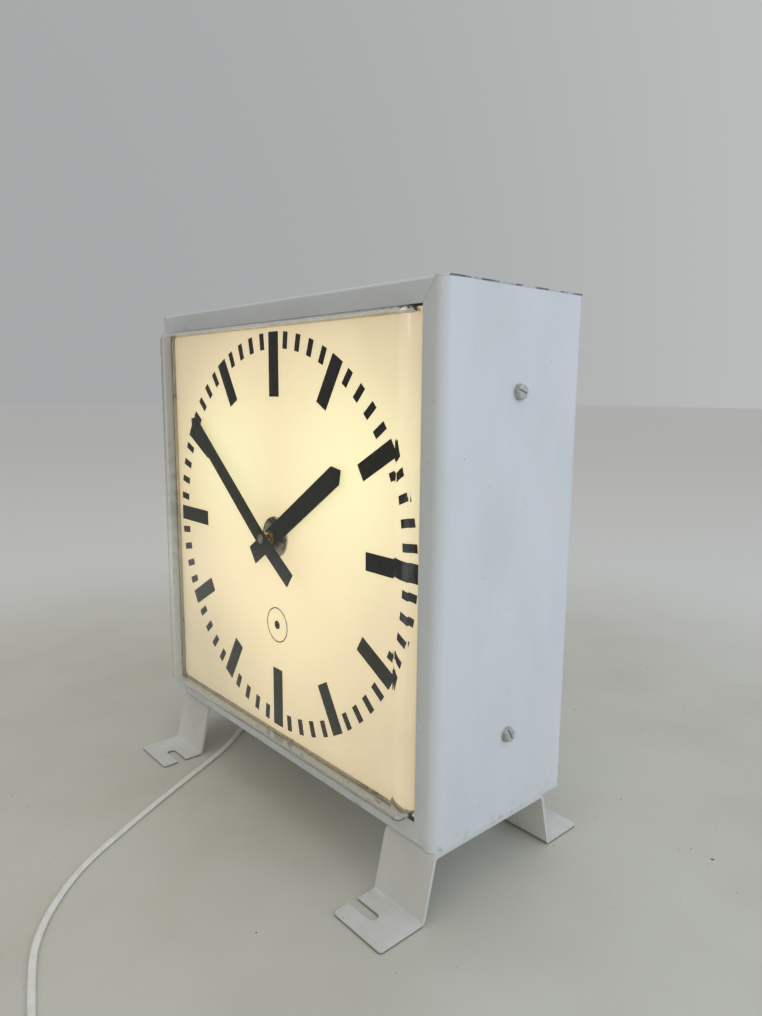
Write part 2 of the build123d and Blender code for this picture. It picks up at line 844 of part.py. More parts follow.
def terminal_screws():
    x, y = terminal_at
    top = case_bottom + sheet + terminal_height
    made = []
    for i, pole in enumerate(terminal_places()):
        for j, shift in enumerate((-4, 4)):
            radius = small_screw_radius - fit_gap
            screw = slotted_screw(radius, radius, 1, 5, 50 * i + 20 * j)
            made.append(Pos(pole, y + shift, top - 2) * screw)
    return Compound(children=made)


def inner_wires():
    # each lamp's lead runs from the terminal block up behind the chassis and through its hole
    y = terminal_at[1]
    low = case_bottom + sheet + 6
    shelf_under = centre_z - shelf_drop - chassis_sheet
    leads = []
    for pole, x in ((terminal_places()[0], -lamp_offset), (terminal_places()[2], lamp_offset)):
        leads.append(
            wire(
                [
                    (pole, y + 6, low),
                    (pole, y + 24, low),
                    (x, y + 24, low + 14),
                    (x, y + 24, centre_z + wire_hole_z),
                    (x, lamp_y, centre_z + wire_hole_z),
                    (x, lamp_y, shelf_under + 8),
                ]
            )
        )
    x, z = coil_wire_hole
    leads.append(
        wire(
            [
                (terminal_places()[1], y + 6, low),
                (terminal_places()[1], y + 33, low),
                (x, y + 33, low + 20),
                (x, y + 33, centre_z + z),
                (x, drive_y + stator_depth / 2 + coil_radius - 1.5, centre_z + z),
            ]
        )
    )
    gland_x, gland_y = cord_exit
    gland_top = case_bottom + gland_inside
    for pole, side in ((terminal_places()[0], -1.4), (terminal_places()[2], 1.4)):
        leads.append(
            wire(
                [
                    (gland_x, gland_y - side, gland_top),
                    (gland_x, gland_y - side, gland_top + 16),
                    (pole, y - 26, low + 20 - 4 * side),
                    (pole, y - 26, low),
                    (pole, y - 6, low),
                ]
            )
        )
    return Compound(children=leads)


# ---- movement -----------------------------------------------------------------------------


def pillar_places():
    return [(sx * pillar_at, sz * pillar_at) for sx in (1, -1) for sz in (1, -1)]


def pillars(start, end):
    return Compound(children=[disc(pillar_radius, start, end, at) for at in pillar_places()])


def movement_plate(start):
    return front_plate(RectangleRounded(plate_size, plate_size, 6), start, start + plate_sheet)


def dial_support():
    # the plate behind the dial, with the threaded bush that the dial nut screws on to
    plate = front_plate(RectangleRounded(plate_size, plate_size, 6), support_front, support_back)
    bush = disc(bush_radius, dial_front - dial_nut_thickness - 0.6, support_back)
    return plate + bush - disc(bush_bore_radius, dial_front - 20, support_back + 1)


def dial_nut():
    nut = ring(dial_nut_radius, bush_radius, dial_front - dial_nut_thickness, dial_front)
    outer = nut.edges().group_by(Axis.Y)[0].sort_by(SortBy.LENGTH)[-1]
    nut = chamfer(outer, 0.8)
    for turn in (0, 90):
        flat = Rot(0, 0, turn) * Rectangle(2 * dial_nut_radius + 4, 3)
        flat -= Circle(dial_nut_radius - 3)
        face = dial_front - dial_nut_thickness
        nut -= front_plate(flat, face - 1, face + 1.2)
    return nut


def front_plate_piece():
    # carries the centre arbor's front bearing and the stud of the motion wheel
    plate = movement_plate(front_plate_y)
    plate -= disc(arbor_radius + running_gap, front_plate_y - 1, train_y + 1)
    plate -= disc(pivot_radius + running_gap, front_plate_y - 1, train_y + 1, train_centre)
    plate -= disc(pivot_radius + running_gap, front_plate_y - 1, train_y + 1, rotor_centre)
    return plate + disc(stud_radius, support_back + 0.2, front_plate_y, motion_centre)


def back_plate():
    plate = movement_plate(back_plate_y)
    plate -= disc(pivot_radius + running_gap, back_plate_y - 1, back_plate_end + 1)
    plate -= disc(pivot_radius + running_gap, back_plate_y - 1, back_plate_end + 1, train_centre)
    return plate - disc(stud_radius, back_plate_y - 1, back_plate_end + 1, rotor_centre)


def mounting_posts():
    # stand the movement off the chassis plate; a screw's shank passes through the plate
    posts = []
    for at in pillar_places():
        post = disc(pillar_radius, back_plate_end, chassis_y, at)
        post += disc(small_screw_radius, chassis_y, chassis_y + chassis_sheet, at)
        head_end = chassis_y + chassis_sheet + small_head_height
        posts.append(post + disc(small_head_radius, chassis_y + chassis_sheet, head_end, at))
    return Compound(children=posts)


def centre_arbor():
    tip = hand_nut_front + 0.3
    bar = disc(arbor_radius, tip, back_plate_y - 0.5)
    return bar + disc(pivot_radius, back_plate_y - 0.5, back_plate_end)


def centre_wheel():
    start, end = train_y + 2, train_y + 4
    phase = train_direction
    wheel = gear(centre_teeth, train_module, phase, start, end, (0, 0), arbor_radius)
    pitch = centre_teeth * train_module / 2
    wheel = spokes(wheel, start, end, (0, 0), 8, pitch - 4)
    return wheel + ring(hub_radius, arbor_radius, end, end + 4)


def cannon_pinion():
    start = motion_wheel_y - 0.5
    pinion = gear(cannon_teeth, motion_module, motion_direction, start, start + 4, (0, 0), arbor_radius)
    return pinion + ring(cannon_radius, arbor_radius, minute_hand_back + collet_length, start)


def motion_wheel():
    start, end = motion_wheel_y, motion_wheel_y + 2
    phase = space_towards(motion_teeth, motion_direction + 180)
    wheel = gear(motion_teeth, motion_module, phase, start, end, motion_centre, stud_bore)
    pitch = motion_teeth * motion_module / 2
    wheel = spokes(wheel, start, end, motion_centre, 8, pitch - 4)
    pinion = gear(
        motion_pinion_teeth, hour_module, motion_direction + 180, hour_wheel_y - 0.4, start,
        motion_centre, stud_bore,
    )
    return wheel + pinion


def hour_wheel():
    start, end = hour_wheel_y, hour_wheel_y + 2
    phase = space_towards(hour_teeth, motion_direction)
    wheel = gear(hour_teeth, hour_module, phase, start, end, (0, 0), pipe_bore)
    pitch = hour_teeth * hour_module / 2
    wheel = spokes(wheel, start, end, (0, 0), 9, pitch - 3.5)
    return wheel + ring(pipe_radius, pipe_bore, hour_hand_front - pipe_proud, start)


def space_towards(teeth, direction):
    # the direction of a tooth when a gap between teeth faces the given direction
    return direction + 180 / teeth


def train_wheel():
    start, end = train_wheel_y, train_wheel_y + 2
    wheel = gear(train_teeth, rotor_module, rotor_direction, start, end, train_centre, pivot_seat)
    pitch = train_teeth * rotor_module / 2
    return spokes(wheel, start, end, train_centre, 7, pitch - 4)


def train_arbor():
    start = train_y + 1
    phase = space_towards(train_pinion_teeth, train_direction + 180)
    pinion = gear(train_pinion_teeth, train_module, phase, start, start + 4, train_centre, pivot_seat)
    bar = disc(pivot_seat, train_y + 0.3, back_plate_y - 0.3, train_centre)
    bar += disc(pivot_radius, front_plate_y, train_y + 0.3, train_centre)
    bar += disc(pivot_radius, back_plate_y - 0.3, back_plate_end, train_centre)
    return pinion + bar


def rotor_arbor():
    start = train_wheel_y - 1.5
    phase = space_towards(rotor_pinion_teeth, rotor_direction + 180)
    pinion = gear(rotor_pinion_teeth, rotor_module, phase, start, start + 5, rotor_centre, pivot_seat)
    bar = disc(pivot_seat, train_y + 0.3, bridge_y - 0.3, rotor_centre)
    bar += disc(pivot_radius, front_plate_y, train_y + 0.3, rotor_centre)
    bar += disc(pivot_radius, bridge_y - 0.3, bridge_y + plate_sheet, rotor_centre)
    return pinion + bar


def rotor_magnet():
    magnet = ring(magnet_radius, pivot_seat, drive_y - 2, drive_y + stator_depth + 2, rotor_centre)
    edges = magnet.edges().filter_by(GeomType.CIRCLE)
    rims = [e for e in edges if e.radius > magnet_radius - 0.1]
    return fillet(rims, 0.6)


def rotor_bridge():
    x, z = rotor_centre
    strap = front_plate(
        Pos(x, z) * SlotOverall(bridge_span + 10, 10), bridge_y, bridge_y + plate_sheet
    )
    for side in (-1, 1):
        strap += disc(3.0, back_plate_end, bridge_y, (x + side * bridge_span / 2, z))
    return strap - disc(pivot_radius + running_gap, bridge_y - 1, bridge_y + 4, rotor_centre)


def stator():
    # a laminated loop: two pole pieces round the rotor, and a core bar through the coil
    x, z = rotor_centre
    low = z - stator_height
    outline = Pos(x, (low + z + stator_crown) / 2) * Rectangle(stator_width, z + stator_crown - low)
    window_top = z - 16
    window_low = low + stator_leg
    outline -= Pos(x, (window_top + window_low) / 2) * Rectangle(
        stator_width - 2 * stator_leg, window_top - window_low
    )
    outline -= Pos(x, z) * Circle(magnet_radius + 1)
    outline -= Pos(x, z + 12) * Rectangle(1.6, 14)
    outline -= Pos(x, z - 14) * Rectangle(1.6, 8)
    for side in (-1, 1):
        outline -= Pos(x + side * bridge_span / 2, z) * Circle(3.2)
    return front_plate(outline, drive_y, drive_y + stator_depth)


def drive_coil():
    # bobbin with two cheeks and a wound body, round the stator's core bar
    x, z = rotor_centre
    core_z = z - stator_height + stator_leg / 2
    middle_y = drive_y + stator_depth / 2
    length = stator_width - 2 * stator_leg - 2 * fit_gap
    coil = Pos(x, middle_y, centre_z + core_z) * Rot(0, 90, 0) * Cylinder(coil_radius - 1.5, length)
    for side in (-1, 1):
        cheek = Box(1.5, 2 * coil_radius, 2 * coil_radius)
        coil += Pos(x + side * (length - 1.5) / 2, middle_y, centre_z + core_z) * cheek
    core = Box(length + 2, stator_depth + 2 * fit_gap, stator_leg + 2 * fit_gap)
    return coil - Pos(x, middle_y, centre_z + core_z) * core


# ---- hands --------------------------------------------------------------------------------


def hand_face(width, tail, reach):
    # points along +X, with a right-angled point
    return Polygon(
        (-tail, -width / 2), (reach - width / 2, -width / 2), (reach, 0),
        (reach - width / 2, width / 2), (-tail, width / 2), align=None,
    )


def minute_hand():
    # flat at the hub and tail, then canted towards the dial so that its point runs close to it
    reach = marker_outer - minute_hand_end_gap
    outline = extrude(hand_face(minute_hand_width, minute_hand_tail, reach), amount=60, both=True)
    slope = (minute_hand_proud - hand_sheet - minute_hand_tip_gap) / (reach - minute_hand_bend_at)
    rise = slope * (reach + 5 - minute_hand_bend_at)
    side = Polyline(
        (-minute_hand_tail - 1, 0), (minute_hand_bend_at, 0), (reach + 5, rise),
        (reach + 5, rise + hand_sheet), (minute_hand_bend_at, hand_sheet),
        (-minute_hand_tail - 1, hand_sheet), close=True,
    )
    edge_view = Plane(origin=(0, -minute_hand_width, 0), x_dir=(1, 0, 0), z_dir=(0, -1, 0))
    bent = extrude(edge_view * make_face(side.edges()), amount=-2 * minute_hand_width)
    hand = outline & bent
    # the drawing's +Z is the object's +Y
    hand = Pos(0, minute_hand_front, centre_z) * Rot(0, -minute_angle, 0) * Rot(-90, 0, 0) * hand
    return hand - disc(arbor_radius, minute_hand_front - 2, minute_hand_back + 2)


def hour_hand():
    reach = marker_outer - hour_bar[1] - hour_hand_end_gap
    face = Rot(0, 0, hour_angle) * hand_face(hour_hand_width, hour_hand_tail, reach)
    hand = front_plate(face, hour_hand_front, hour_hand_front + hand_sheet)
    return hand - disc(pipe_radius, hour_hand_front - 1, hour_hand_front + hand_sheet + 1)


def minute_collet():
    return ring(collet_radius, arbor_radius, minute_hand_back, minute_hand_back + collet_length)


def hour_collet():
    start = hour_hand_front + hand_sheet
    return ring(pipe_radius + 3.5, pipe_radius, start, dial_front - dial_nut_thickness - 1.2)


def hand_nut():
    nut = disc(hand_nut_radius, hand_nut_front, minute_hand_front)
    nut = fillet(nut.edges().group_by(Axis.Y)[0], 0.6)
    return nut - disc(arbor_radius, hand_nut_front - 1, minute_hand_front + 1)


# ---- cord ---------------------------------------------------------------------------------


def cable_gland():
    x, y = cord_exit
    gland = upright(gland_radius - 2, case_bottom, case_bottom + gland_inside, x, y)
    gland += hexagon_bar(gland_radius + 1, case_bottom - 4, case_bottom, x, y)
    return gland - upright(relief_top_radius, case_bottom - 5, case_bottom + gland_inside + 1, x, y)


def gland_nut():
    x, y = cord_exit
    low = case_bottom + sheet
    nut = hexagon_bar(gland_radius + 2, low, low + 3.5, x, y)
    return nut - upright(gland_radius - 2, low - 1, low + 5, x, y)


def strain_relief():
    # a tapered sleeve, held in the gland, that guides the cord out downwards
    x, y = cord_exit
    top = case_bottom + gland_inside
    low = top - relief_length
    sleeve = upright(relief_top_radius, case_bottom - 4, top, x, y)
    taper_height = case_bottom - 4 - low
    taper = Cone(relief_end_radius, relief_top_radius, taper_height)
    sleeve += Pos(x, y, low + taper_height / 2) * taper
    return sleeve


def corner_radii(points):
    # each arc is as large as its two runs allow
    radii = []
    for a, b, c in zip(points, points[1:], points[2:]):
        into, out = Vector(*b) - Vector(*a), Vector(*c) - Vector(*b)
        half_turn = math.radians(into.get_angle(out)) / 2
        radii.append(0.45 * min(into.length, out.length) / math.tan(half_turn))
    return radii


def cord_tube(name, points):
    radii = corner_radii(points)
    path = FilletPolyline(*points, radius=radii)
    start = Plane(origin=points[0], z_dir=Vector(*points[1]) - Vector(*points[0]))
    tube = sweep(start * Circle(cord_radius), path=path)
    expected = math.pi * cord_radius**2 * path.length
    print(name, "radii", [round(r, 1) for r in radii], "length", round(path.length, 1))
    print(name, "volume", round(tube.volume, 1), "expected", round(expected, 1))
    return tube


def cord_coil():
    # the outer shape of the wound length
    x, y = coil_centre
    outer = coil_middle_radius + coil_across / 2
    turns = upright(outer, coil_lift, coil_lift + coil_height, x, y)
    turns -= upright(outer - coil_across, 0, coil_lift + coil_height + 1, x, y)
    return fillet(turns.edges().filter_by(GeomType.CIRCLE), 0.3 * coil_height)


def cord_tie():
    # a strap round the section of the coil
    x, y = coil_centre
    across = coil_across + 2 * tie_thickness
    high = coil_lift + coil_height + tie_thickness
    block = box(
        (coil_middle_radius - across / 2, -tie_width / 2, coil_lift - tie_thickness),
        (coil_middle_radius + across / 2, tie_width / 2, high),
    )
    block = fillet(block.edges().filter_by(Axis.Y), 0.3 * coil_height)
    return Pos(x, y, 0) * Rot(0, 0, tie_turn) * block - cord_coil()


def plug_place():
    # in line with the last, level run of the cord
    start, end = tail_route[-2:]
    turn = math.degrees(math.atan2(end[1] - start[1], end[0] - start[0]))
    return Pos(*end) * Rot(0, 0, turn)


def plug_body():
    # drawn pointing along +X from the end of the cord
    boot = Rot(0, 90, 0) * Cone(relief_end_radius, relief_top_radius, boot_length)
    body = Plane.YZ.offset(boot_length) * RectangleRounded(plug_width, plug_height, 5)
    body = extrude(body, amount=plug_length)
    ends = [e for e in body.edges() if abs(e.center().X - boot_length) < 0.01]
    body = fillet(ends, 4)
    return plug_place() * (Pos(boot_length / 2, 0, 0) * boot + body)


def plug_pins():
    start = boot_length + plug_length
    made = []
    for side in (-1, 1):
        pin = Rot(0, 90, 0) * Cylinder(pin_radius, pin_length)
        tips = [e for e in pin.edges() if abs(e.center().X - pin_length / 2) < 0.01]
        pin = fillet(tips, 0.9)
        made.append(plug_place() * Pos(start + pin_length / 2, side * pin_spacing / 2, 0) * pin)
    return Compound(children=made)


# ---- every sub-part, by name --------------------------------------------------------------


def build():
    side, end, foot = side_panel(), end_panel(), right_foot()
    return {
        "side_panel_right": side,
        "side_panel_left": mirror(side, about=Plane.YZ),
        "top_panel": end,
        "bottom_panel": bottom_of(end),
        "rear_cover": rear_cover(),
        "rear_cover_screws": rear_cover_screws(),
        "foot_right": foot,
        "foot_left": Pos(left_foot_inset, 0, 0) * mirror(foot, about=Plane.YZ),
        "foot_bolts": foot_bolts(),
        "foot_nuts": foot_nuts(),
        "front_cover": front_cover(),
        "cover_gasket": cover_gasket(),
        "dial_plate": dial_plate(),
        "dial_markers": dial_markers(),
        "clip_studs": clip_studs(),
        "dial_clips": dial_clips(),
        "clip_nuts": clip_nuts(),
        "chassis_plate": chassis_plate(),
        "side_screws": side_screw_group(side_screw),
        "side_washers": side_screw_group(side_washer),
        "side_nuts": side_screw_group(side_nut),
        "lamp_shelf": lamp_shelf(),
        "lampholders": lampholders(),
        "bulbs": bulbs(),
        "terminal_block": terminal_block(),
        "terminal_screws": terminal_screws(),
        "inner_wires": inner_wires(),
        "dial_support_plate": dial_support(),
        "dial_nut": dial_nut(),
        "support_pillars": pillars(support_back, front_plate_y),
        "movement_front_plate": front_plate_piece(),
        "plate_pillars": pillars(train_y, back_plate_y),
        "movement_back_plate": back_plate(),
        "mounting_posts": mounting_posts(),
        "centre_arbor": centre_arbor(),
        "centre_wheel": centre_wheel(),
        "cannon_pinion": cannon_pinion(),
        "minute_collet": minute_collet(),
        "minute_hand": minute_hand(),
        "hand_nut": hand_nut(),
        "motion_wheel": motion_wheel(),
        "hour_wheel": hour_wheel(),
        "hour_collet": hour_collet(),
        "hour_hand": hour_hand(),
        "train_wheel": train_wheel(),
        "train_arbor": train_arbor(),
        "rotor_arbor": rotor_arbor(),
        "rotor_magnet": rotor_magnet(),
        "rotor_bridge": rotor_bridge(),
        "stator": stator(),
        "drive_coil": drive_coil(),
        "cable_gland": cable_gland(),
        "gland_nut": gland_nut(),
        "strain_relief": strain_relief(),
        "mains_cord": cord_tube("mains_cord", cord_route),
        "cord_coil": cord_coil(),
        "cord_tie": cord_tie(),
        "cord_tail": cord_tube("cord_tail", tail_route),
        "plug_body": plug_body(),
        "plug_pins": plug_pins(),
    }


os.makedirs("parts", exist_ok=True)
for name, shape in build().items():
    export_step(shape, f"parts/{name}.step")
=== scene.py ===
import math
import bpy
import bmesh
from mathutils import Matrix, Vector


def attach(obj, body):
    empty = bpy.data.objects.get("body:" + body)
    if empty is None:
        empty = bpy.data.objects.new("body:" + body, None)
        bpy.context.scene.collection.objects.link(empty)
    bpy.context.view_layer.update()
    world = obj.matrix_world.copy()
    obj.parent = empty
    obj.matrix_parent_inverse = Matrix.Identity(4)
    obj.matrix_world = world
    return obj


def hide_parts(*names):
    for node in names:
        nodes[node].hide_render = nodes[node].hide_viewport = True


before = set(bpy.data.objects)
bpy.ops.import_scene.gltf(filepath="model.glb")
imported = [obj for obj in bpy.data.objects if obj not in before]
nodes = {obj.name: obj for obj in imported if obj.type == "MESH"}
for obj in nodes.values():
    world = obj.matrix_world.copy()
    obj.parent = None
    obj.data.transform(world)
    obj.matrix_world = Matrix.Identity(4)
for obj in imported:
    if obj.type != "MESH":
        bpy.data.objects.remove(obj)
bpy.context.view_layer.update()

# Illuminated station clock: the looks go round the CAD frame. Metres; +X right, +Y to the
# back, +Z up, origin on the table between the feet.
mm = 0.001

# ---- small tools


def linear(hexColour, alpha=1.0):
    # sRGB hex to the linear values that shaders take
    channels = [int(hexColour[i:i + 2], 16) / 255 for i in (1, 3, 5)]
    return [c / 12.92 if c <= 0.04045 else ((c + 0.055) / 1.055) ** 2.4 for c in channels] + [alpha]


def addNode(tree, kind, links=None, **settings):
    # one shader node: settings are its properties or its inputs by name or number, links are
    # inputs fed from another node's output
    node = tree.nodes.new(kind)
    inputs = settings.pop("inputs", {})
    for name, value in settings.items():
        setattr(node, name, value)
    for key, value in inputs.items():
        node.inputs[key].default_value = value
    for key, output in (links or {}).items():
        tree.links.new(output, node.inputs[key])
    return node


def newMaterial(name, colour, roughness, **sockets):
    material = bpy.data.materials.new(name)
    material.use_nodes = True
    tree = material.node_tree
    shader = tree.nodes["Principled BSDF"]
    shader.inputs["Base Color"].default_value = linear(colour)
    shader.inputs["Roughness"].default_value = roughness
    for key, value in sockets.items():
        shader.inputs[key].default_value = value
    return material, tree, shader


def wear(node, material):
    # gives a CAD node or a new piece its finish
    piece = nodes[node] if isinstance(node, str) else node
    piece.data.materials.clear()
    piece.data.materials.append(material)


def span(low, high, start, end):
    # what a value is mapped from and to
    return {"From Min": low, "From Max": high, "To Min": start, "To Max": end}


# ---- camera

cameraSet = {
    "at": (0.53074, -0.40823, 0.37635),
    "yaw": 48.45,
    "down": 9.06,
    "roll": 0.48,
    "lens": 25.95,
    "sensor": 36.0,
    "clipStart": 0.01,
}
cameraData = bpy.data.cameras.new("camera")
cameraData.sensor_fit = "VERTICAL"
cameraData.sensor_height = cameraSet["sensor"]
cameraData.lens = cameraSet["lens"]
cameraData.clip_start = cameraSet["clipStart"]
camera = bpy.data.objects.new("camera", cameraData)
camera.matrix_world = (
    Matrix.Translation(cameraSet["at"])
    @ Matrix.Rotation(math.radians(cameraSet["yaw"]), 4, "Z")
    @ Matrix.Rotation(math.radians(90 - cameraSet["down"]), 4, "X")
    @ Matrix.Rotation(math.radians(cameraSet["roll"]), 4, "Z")
)
bpy.context.scene.collection.objects.link(camera)
bpy.context.scene.camera = camera
print("camera placed")

# ---- mains cord

cordSet = {
    "width": 5.2 * mm,
    "height": 3.4 * mm,
    "exit": (-96 * mm, 44 * mm, 36 * mm),
    "length": 1.8,
    "coilCentre": (140.0, -351.0),
    "turnPoints": 14,
    "coilSlots": [  # radius and height of each turn
        (33, 2.8), (27.5, 2.8), (22, 2.8), (22, 6.4), (27.5, 6.4), (25, 10), (28, 10), (33, 9.2),
    ],
    "coilStart": 73.0,
    "coilEnd": 62.0,
    "stepShare": 0.3,  # the part of a turn in which it steps to the next place
    "sides": 18,
    "groove": 0.16,
    "flatness": 0.72,
}
cordRoute = [
    (-96, 44, 36), (-96, 44, 25), (-102.4, 44, 15.5), (-120, 43, 6.5), (-139.4, 37.4, 2.2),
    (-154.8, 18, 1.7), (-154, -6.7, 1.7), (-134, -30.5, 1.7), (-116, -57, 1.7), (-99, -90, 1.7),
    (-72.5, -142.5, 1.7), (-46, -191, 1.7), (-22, -232, 1.7), (8, -264, 1.7), (42, -288, 1.7),
    (76, -299.5, 1.7), (108, -308.6, 1.8), (134, -318, 2.4),
]
tailRoute = [(164, -329.5, 7.5), (176, -334.5, 5.4), (190, -342, 4.6), (199, -354, 7), (203, -369, 7)]


def coilPoints():
    # neat turns, clockwise from above; the last part of each turn steps to the next place
    slots = cordSet["coilSlots"]
    count = cordSet["turnPoints"]
    total = (len(slots) - 1) * 360 + cordSet["coilStart"] - cordSet["coilEnd"]
    steps = round(total / 360 * count)
    points = []
    for i in range(steps + 1):
        turned = total * i / steps
        turn = min(int(turned // 360), len(slots) - 2)
        share = (turned - 360 * turn) / 360
        ease = (share - 1 + cordSet["stepShare"]) / cordSet["stepShare"]
        ease = min(max(ease, 0.0), 1.0)
        ease = ease * ease * (3 - 2 * ease)
        radius = slots[turn][0] + (slots[turn + 1][0] - slots[turn][0]) * ease
        height = slots[turn][1] + (slots[turn + 1][1] - slots[turn][1]) * ease
        angle = math.radians(cordSet["coilStart"] - turned)
        centre = cordSet["coilCentre"]
        points.append((centre[0] + radius * math.cos(angle), centre[1] + radius * math.sin(angle), height))
    return points


def splineLine(name, points):
    # a NURBS line with these control points, read back as the smooth line it draws
    curve = bpy.data.curves.new(name, "CURVE")
    curve.dimensions = "3D"
    curve.resolution_u = 5
    spline = curve.splines.new("NURBS")
    spline.points.add(len(points) - 1)
    for point, (x, y, z) in zip(spline.points, points):
        point.co = (x * mm, y * mm, z * mm, 1)
    spline.order_u = 3
    spline.use_endpoint_u = True
    line = bpy.data.objects.new(name, curve)
    bpy.context.scene.collection.objects.link(line)
    read = bpy.data.meshes.new_from_object(line)
    path = [v.co.copy() for v in read.vertices]
    bpy.data.meshes.remove(read)
    bpy.data.objects.remove(line)
    return path


def twinProfile():
    # two cores side by side in one sheath, with a shallow groove between them
    halfWidth, halfHeight = cordSet["width"] / 2, cordSet["height"] / 2
    ring = []
    for i in range(cordSet["sides"]):
        angle = 2 * math.pi * (i + 0.5) / cordSet["sides"]
        rise = math.sin(angle)
        pinch = 1 - cordSet["groove"] * abs(rise) ** 6
        high = halfHeight * pinch * math.copysign(abs(rise) ** cordSet["flatness"], rise)
        ring.append((halfWidth * math.cos(angle), high))
    return ring


def flexMesh(name, path, profile):
    # sweeps the flat section along the line, keeping its broad side level
    mesh = bpy.data.meshes.new(name)
    shape = bmesh.new()
    side = Vector((0.6, 0.8, 0))  # the broad side's direction until the line leaves the upright
    rings = []
    for i, point in enumerate(path):
        tangent = (path[min(i + 1, len(path) - 1)] - path[max(i - 1, 0)]).normalized()
        level = tangent.cross(Vector((0, 0, 1)))
        if level.length > 0.3:
            level.normalize()
            side = level if level.dot(side) > 0 else -level
        across = (side - tangent * side.dot(tangent)).normalized()
        upward = across.cross(tangent)
        rings.append([shape.verts.new(point + across * u + upward * v) for u, v in profile])
    for ringA, ringB in zip(rings, rings[1:]):
        for j in range(len(profile)):
            k = (j + 1) % len(profile)
            shape.faces.new((ringA[j], ringA[k], ringB[k], ringB[j]))
    shape.faces.new(rings[0])
    shape.faces.new(list(reversed(rings[-1])))
    bmesh.ops.recalc_face_normals(shape, faces=shape.faces)
    for face in shape.faces:
        face.smooth = len(face.verts) == 4
    shape.to_mesh(mesh)
    shape.free()
    piece = bpy.data.objects.new(name, mesh)
    bpy.context.scene.collection.objects.link(piece)
    return piece


# ---- plug

plugSet = {
    "boot": 12 * mm,
    "bootSunk": 2 * mm,
    "bootRadii": (3.4 * mm, 5.0 * mm),
    "body": (35 * mm, 26 * mm, 13.7 * mm),
    "corner": 3.4 * mm,
    "ribs": 5,
    "ribSize": (1.7 * mm, 17 * mm, 0.5 * mm),
    "ribPitch": 3.6 * mm,
    "ribMiddle": 0.42,
    "ribEdge": 0.35 * mm,
    "sideRib": 7 * mm,
    "bootRings": 4,
    "ringThickness": 0.75 * mm,
}


def startPiece(name):
    piece = bpy.context.object
    piece.name = piece.data.name = name
    return piece


def bevelled(piece, width, segments):
    bevel = piece.modifiers.new("bevel", "BEVEL")
    bevel.width = width
    bevel.segments = segments
    bpy.context.view_layer.objects.active = piece
    bpy.ops.object.modifier_apply(modifier="bevel")


bpy.ops.object.select_all(action="DESELECT")
plugLong, plugWide, plugHigh = plugSet["body"]
bodyStart = plugSet["boot"]
bpy.ops.mesh.primitive_cube_add(size=1, location=(bodyStart + plugLong / 2, 0, 0))
plugPiece = startPiece("mouldedPlug")
plugPiece.scale = (plugLong, plugWide, plugHigh)
bpy.ops.object.transform_apply(location=True, rotation=False, scale=True)
bevelled(plugPiece, plugSet["corner"], 5)
extras = []
ribLong, ribWide, ribProud = plugSet["ribSize"]
sides = {
    (0, plugHigh / 2): (ribWide, 2 * ribProud),
    (plugWide / 2, 0): (2 * ribProud, plugSet["sideRib"]),
    (-plugWide / 2, 0): (2 * ribProud, plugSet["sideRib"]),
}
ribsHalf = (plugSet["ribs"] - 1) / 2 * plugSet["ribPitch"]
firstRib = bodyStart + plugLong * plugSet["ribMiddle"] - ribsHalf
for (across, up), (wide, high) in sides.items():
    # one rib on each side, copied along the plug
    bpy.ops.mesh.primitive_cube_add(size=1, location=(firstRib, across, up))
    rib = startPiece("gripRib")
    rib.scale = (ribLong, wide, high)
    bpy.ops.object.transform_apply(location=True, rotation=False, scale=True)
    bevelled(rib, plugSet["ribEdge"], 2)
    extras.append(rib)
    for i in range(1, plugSet["ribs"]):
        copy = rib.copy()
        copy.data = rib.data.copy()
        copy.data.transform(Matrix.Translation((i * plugSet["ribPitch"], 0, 0)))
        bpy.context.scene.collection.objects.link(copy)
        extras.append(copy)
thin, thick = plugSet["bootRadii"]
bpy.ops.mesh.primitive_cone_add(
    vertices=32, radius1=thin, radius2=thick, depth=plugSet["boot"] + plugSet["bootSunk"],
    location=((plugSet["boot"] + plugSet["bootSunk"]) / 2, 0, 0), rotation=(0, math.pi / 2, 0),
)
boot = startPiece("plugBoot")
bpy.ops.object.transform_apply(location=True, rotation=True, scale=True)
extras.append(boot)
for i in range(plugSet["bootRings"]):
    share = (i + 0.6) / plugSet["bootRings"]
    bpy.ops.mesh.primitive_torus_add(
        major_segments=32, minor_segments=8, major_radius=thin + (thick - thin) * share,
        minor_radius=plugSet["ringThickness"], location=(plugSet["boot"] * share, 0, 0),
        rotation=(0, math.pi / 2, 0),
    )
    ring = startPiece("bootRing")
    bpy.ops.object.transform_apply(location=True, rotation=True, scale=True)
    extras.append(ring)
for piece in extras:
    piece.select_set(True)
plugPiece.select_set(True)
bpy.context.view_layer.objects.active = plugPiece
bpy.ops.object.join()
# the boot points back along the cord's last run
lastPoint, plugEnd = Vector(tailRoute[-2]), Vector(tailRoute[-1])
plugTurn = math.atan2(plugEnd.y - lastPoint.y, plugEnd.x - lastPoint.x)
plugPiece.data.transform(Matrix.Translation(plugEnd * mm) @ Matrix.Rotation(plugTurn, 4, "Z"))
bpy.ops.object.shade_smooth_by_angle(angle=math.radians(35))
bpy.ops.object.select_all(action="DESELECT")
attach(plugPiece, "case")
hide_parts("plug_body")
print("plug moulded")

cordPath = splineLine("cordLine", cordRoute + coilPoints() + tailRoute)
mainsFlex = flexMesh("mainsFlex", cordPath, twinProfile())
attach(mainsFlex, "case")
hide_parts("mains_cord", "cord_coil", "cord_tail")
print("cord laid")

# ---- floor and light

